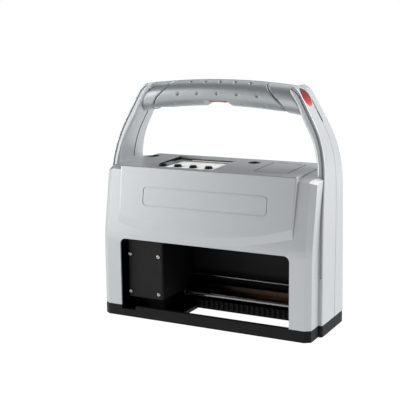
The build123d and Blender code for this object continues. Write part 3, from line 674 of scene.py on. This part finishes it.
def bar_mesh():
    """The bar under the sleeve with its two full-size shoulders."""
    rings = []
    for side, middle in ((-1, SEAM_LEFT), (1, SEAM_RIGHT)):
        half = [(share, 0.0, 0.0) for share in SHOULDER_SHARES]
        half += [(1.0, off, drop) for off, drop in reversed(LIP)]
        half += [(1.0, -0.3, CORE_INSET)]
        made = []
        for share, off, drop in half:
            ring = []
            for angle in angles():
                seam = seam_x(middle, -side, angle) + side * (SEAM_GAP + off)
                z_end = grip_point(side * 84.0, angle).z
                outer = side * (arm_end_x(z_end) + 0.4)
                ring.append(grip_point(outer + (seam - outer) * share, angle, drop))
            made.append(ring)
        rings += made if side < 0 else list(reversed(made))
        if side < 0:
            rings += [[core_point(x, angle) for angle in angles()] for x in range(-46, 47, 2)]
    return cut(skin("handle_bar_shoulders", rings), box_mesh(*TRIGGER_MOUTH), box_mesh(*TRIGGER_CHAMBER))


def trigger_mesh():
    """The finger trigger: a rounded blade, hollowed along its underside for the fingertip."""
    rings = []
    for k in range(BLADE_STEPS + 1):
        share = k / BLADE_STEPS
        x = BLADE_X0 + (BLADE_X1 - BLADE_X0) * share
        edge = min(1.0, 6.0 * min(share, 1 - share) + 0.25)
        bottom = BLADE_Z0 + BLADE_HOLLOW * math.sin(math.pi * share) + (1 - edge) * 1.2
        ring = []
        for n in range(BLADE_SIDES):
            angle = 2 * math.pi * n / BLADE_SIDES
            u, v = math.cos(angle), math.sin(angle)
            y = BLADE_Y + BLADE_HALF_Y * math.copysign(abs(u) ** 0.5, u)
            z = (bottom + BLADE_Z1) / 2 + (BLADE_Z1 - bottom) / 2 * math.copysign(abs(v) ** 0.55, v)
            ring.append((x, y, z))
        rings.append(ring)
    return skin("trigger_blade", rings)


def add_handle():
    """The trigger, the bar and the soft sleeve."""
    add_piece("trigger_blade", trigger_mesh(), "trigger", "red_trigger", "trigger")
    add_piece("handle_bar_shoulders", bar_mesh(), "housing", "grey_handle", "handle_bar")
    add_piece("grip_sleeve_soft", sleeve_mesh(), "housing", "grey_grip", "grip_sleeve")


# ---------------------------------------------------------------- screws
PLATE_SCREWS = ((-90.0, 66.5), (-55.5, 66.5), (-90.0, 25.5), (-55.5, 25.5))
PLATE_FACE_Y = -38.5
HEAD_R, HEAD_H = 2.0, 1.25
SHANK_R, SHANK_LENGTH = 1.2, 7.5


def socket_screw(place, axis, sign, head_r, head_h, shank_r, length):
    """A button-head screw with a hexagon socket; sign gives the way the head faces."""
    socket = 0.55 * head_r
    profile = ((shank_r * 0.4, -length), (shank_r, -length + 0.6), (shank_r, 0.0), (head_r, 0.0),
               (head_r, 0.35 * head_h), (0.93 * head_r, 0.72 * head_h), (0.72 * head_r, head_h),
               (socket + 0.12, head_h), (socket, head_h - 0.12, "hex"), (socket, 0.25 * head_h, "hex"),
               (0.1 * socket, 0.1 * head_h, "hex"))
    return turned([(entry[0], sign * entry[1], *entry[2:]) for entry in profile], place, axis)


def add_screws():
    """The four screws in the face of the carriage."""
    plate = [socket_screw((x, PLATE_FACE_Y, z), "Y", -1, HEAD_R, HEAD_H, SHANK_R, SHANK_LENGTH)
             for x, z in PLATE_SCREWS]
    name = "carriage_plate_screws"
    add_piece(name, skin(name, *plate), "carriage", "steel", "carriage_screws")


# ---------------------------------------------------------------- deck
FRONT_Y = -48.0
SEAM_Y = 11.0
ARM_FOOT_Z = 164.5        # the painted seam shade starts here, at the foot of the arms
SEAM_SHADE_W, SEAM_SHADE_PROUD, SEAM_SHADE_SUNK = 1.5, 0.06, 0.35
VENT_Z0, VENT_Z1 = 210.6, 221.6
VENT_X, VENT_LEAN = 107.0, -0.54     # the arm's outer face at VENT_Z0, and its slope in X per mm of Z
VENT_WIDTHS = ((0.0, 0.5), (0.06, 1.0), (0.25, 1.3), (0.6, 1.1), (0.94, 0.7), (1.0, 0.3))
DECK_Z, DECK_Y, DECK_SLOPE = 161.5, 9.7, 0.037
RECESS_X0, RECESS_X1 = -66.0, 5.0
RECESS_Y1 = 80.5
RECESS_FLOOR = 160.4
KEY_X0, KEY_PITCH, KEY_COUNT = -56.0, 17.85, 4
KEY_Y, KEY_R = -24.5, 4.1
COVER_X0, COVER_X1 = 47.0, 83.4
COVER_Y0, COVER_Y1 = 26.0, 76.0
PLUGS = ((-95.6, 71.5), (28.0, 69.5))
PLUG_R = 7.0
RECESS_SHADE_W, COVER_SHADE_SIDE, COVER_SHADE_FRONT = 0.7, 1.2, 0.5
ROUND_SIDES = 64
OVERLAY_X0, OVERLAY_X1 = -65.7, 4.7
OVERLAY_Y0, OVERLAY_Y1 = 17.3, 58.5
OVERLAY_TOP = 161.65


def deck_z(y):
    """Height of the sloping deck at a distance behind the front face."""
    return DECK_Z + DECK_SLOPE * (y - DECK_Y)


def wall_rings(start, end, low, high_of, thickness):
    """Rings of an upright strip from one plan point to another; y is the distance behind the front face."""
    (x0, y0), (x1, y1) = start, end
    along = Vector((x1 - x0, y1 - y0)).normalized() * thickness / 2
    rings = []
    steps = 12
    for k in range(steps + 1):
        x = x0 + (x1 - x0) * k / steps
        y = y0 + (y1 - y0) * k / steps
        high = high_of(y)
        ring = [(-1, low(y)), (1, low(y)), (1, high - 0.12), (0.6, high), (-0.6, high), (-1, high - 0.12)]
        rings.append([(x - side * along.y, FRONT_Y + y + side * along.x, z) for side, z in ring])
    return rings


def add_keys():
    """Black push buttons with a skirt, a soft edge and a dished top."""
    profile = ((4.6, 156.1), (4.7, 156.3), (4.7, 157.2), (4.5, 157.5), (KEY_R, 157.6), (KEY_R, 162.4),
               (KEY_R - 0.1, 163.1), (3.6, 163.7), (3.1, 164.08), (2.4, 164.18), (1.5, 164.0),
               (0.7, 163.86), (0.1, 163.84))
    for k in range(KEY_COUNT):
        place = (KEY_X0 + KEY_PITCH * k, KEY_Y, 0.0)
        key = "key_%d" % (k + 1)
        cap = key + "_cap"
        add_piece(cap, skin(cap, turned(profile, place, sides=ROUND_SIDES)), key, "black_rubber", key)


def add_keypad_overlay():
    """The printed keypad sheet, flush with the deck at the front, with a clearance hole for every key."""
    rings = []
    steps = 14
    for k in range(steps + 1):
        x = OVERLAY_X0 + (OVERLAY_X1 - OVERLAY_X0) * k / steps
        front, rear = FRONT_Y + OVERLAY_Y0, FRONT_Y + OVERLAY_Y1
        low, high = RECESS_FLOOR + 0.02, OVERLAY_TOP
        rings.append([(x, front, low), (x, rear, low), (x, rear, high - 0.5), (x, rear - 0.15, high - 0.15),
                      (x, rear - 0.5, high), (x, front + 0.3, high), (x, front, high - 0.3)])
    sheet = skin("keypad_overlay", rings)
    hole = ((KEY_R + 0.25, RECESS_FLOOR - 1.0), (KEY_R + 0.25, OVERLAY_TOP + 1.0))
    holes = [skin("cutter", turned(hole, (KEY_X0 + KEY_PITCH * k, KEY_Y, 0.0))) for k in range(KEY_COUNT)]
    add_piece("keypad_overlay", cut(sheet, *holes), "housing", "white_panel")


def add_seam_painted_shade():
    """A thin dark strip of painted shade in the gap between the two half shells, where it shows on the
    arms.
    """
    shade_band = bmesh.new()
    shade_band.from_mesh(NODES["rear_housing"].data)
    seam = SEAM_Y * MM
    away = [face for face in shade_band.faces
            if face.normal.y > -0.99 or abs(face.calc_center_median().y - seam) > 0.05 * MM]
    bmesh.ops.delete(shade_band, geom=away, context="FACES")
    whole = list(shade_band.verts) + list(shade_band.edges) + list(shade_band.faces)
    bmesh.ops.bisect_plane(shade_band, geom=whole, plane_co=(0, 0, ARM_FOOT_Z * MM), plane_no=(0, 0, 1),
                           clear_inner=True)
    grown = bmesh.ops.extrude_face_region(shade_band, geom=list(shade_band.faces))
    front = [item for item in grown["geom"] if isinstance(item, bmesh.types.BMVert)]
    bmesh.ops.translate(shade_band, vec=(0, -SEAM_SHADE_W * MM, 0), verts=front)
    bmesh.ops.translate(shade_band, vec=(0, SEAM_SHADE_W / 3 * MM, 0), verts=shade_band.verts)
    bmesh.ops.recalc_face_normals(shade_band, faces=shade_band.faces)
    moves = []
    for vert in shade_band.verts:
        sides = [face.normal.copy() for face in vert.link_faces if abs(face.normal.y) < 0.5]
        if sides:
            way = sum(sides, Vector((0, 0, 0))).normalized()
            inward = way.x * vert.co.x < 0
            moves.append((vert, way * (SEAM_SHADE_PROUD if inward else -SEAM_SHADE_SUNK) * MM))
    for vert, move in moves:
        vert.co += move
    mesh = bpy.data.meshes.new("seam_painted_shade")
    shade_band.to_mesh(mesh)
    shade_band.free()
    add_piece("seam_painted_shade", mesh, "housing", "black_inner")


def add_vent_painted_shade():
    """A dark insert on the right arm's outer seam, below the lens: painted shade that stands for a slot,
    slightly proud.
    """
    rings = []
    slant = math.hypot(1.0, VENT_LEAN)
    out_x, out_z = 1.0 / slant, -VENT_LEAN / slant
    for step, half in VENT_WIDTHS:
        z = VENT_Z0 + step * (VENT_Z1 - VENT_Z0)
        x = VENT_X + VENT_LEAN * (z - VENT_Z0)
        section = ((-0.6, -half), (0.1, -half), (0.16, -0.8 * half),
                   (0.16, 0.8 * half), (0.1, half), (-0.6, half))
        rings.append([(x + rise * out_x, SEAM_Y + side, z + rise * out_z) for rise, side in section])
    add_piece("vent_painted_shade", skin("vent_painted_shade", rings), "housing", "black_inner")


def add_deck_details():
    """Rubber plugs, and dark strips of painted shade round the recess and in the gap round the battery
    cover.
    """
    plugs = []
    for x, y in PLUGS:
        top = deck_z(y) - 0.25
        profile = ((PLUG_R - 0.4, top - 5.2), (PLUG_R - 0.1, top - 4.9), (PLUG_R - 0.1, top - 0.5),
                   (PLUG_R - 0.4, top), (6.1, top), (5.8, top - 0.5), (5.6, top - 3.4), (2.6, top - 3.6),
                   (2.4, top - 3.2), (2.2, top - 1.5), (1.8, top - 1.1), (0.3, top - 1.0))
        plugs.append(turned(profile, (x, FRONT_Y + y, 0.0), sides=ROUND_SIDES))
    add_piece("deck_plug_cups", skin("deck_plug_cups", *plugs), "housing", "black_rubber", "deck_plugs")

    def floor(y):
        return RECESS_FLOOR + 0.03

    def under_deck(y):
        return max(RECESS_FLOOR + 0.3, deck_z(y) - 0.2)

    def shade_line_top(y):
        return RECESS_FLOOR + 1.1

    # painted shade: dark strips up the recess's side walls and along the foot of its rear wall
    x0, x1 = RECESS_X0 + RECESS_SHADE_W / 2, RECESS_X1 - RECESS_SHADE_W / 2
    y0, y1 = OVERLAY_Y1 - 22.0, RECESS_Y1 - RECESS_SHADE_W / 2
    shade_strips = [wall_rings((x0, y0), (x0, y1), floor, under_deck, RECESS_SHADE_W),
             wall_rings((x0, y1), (x1, y1), floor, shade_line_top, RECESS_SHADE_W),
             wall_rings((x1, y1), (x1, y0), floor, under_deck, RECESS_SHADE_W)]
    add_piece("recess_shade_strips", skin("recess_shade_strips", *shade_strips), "housing", "black_inner")

    def below(y):
        return deck_z(y) - 0.8

    def proud(y):
        return deck_z(y) + 0.06

    # painted shade: a dark strip in the gap round the battery cover, just proud of the deck
    shade_band = [wall_rings((COVER_X0, COVER_Y0), (COVER_X0, COVER_Y1), below, proud, COVER_SHADE_SIDE),
            wall_rings((COVER_X1, COVER_Y0), (COVER_X1, COVER_Y1), below, proud, COVER_SHADE_SIDE),
            wall_rings((COVER_X0, COVER_Y0), (COVER_X1, COVER_Y0), below, proud, COVER_SHADE_FRONT)]
    add_piece("cover_shade_band", skin("cover_shade_band", *shade_band), "housing", "black_inner")


MATERIALS = build_materials()
for node_name, node_object in NODES.items():
    node_object.data.materials.clear()
    node_object.data.materials.append(MATERIALS[SLOT_OF[node_name]])
add_handle()
add_screws()
add_keys()
add_keypad_overlay()
add_deck_details()
add_seam_painted_shade()
add_vent_painted_shade()
add_camera()
add_studio()
bpy.context.scene.view_settings.view_transform = "Standard"
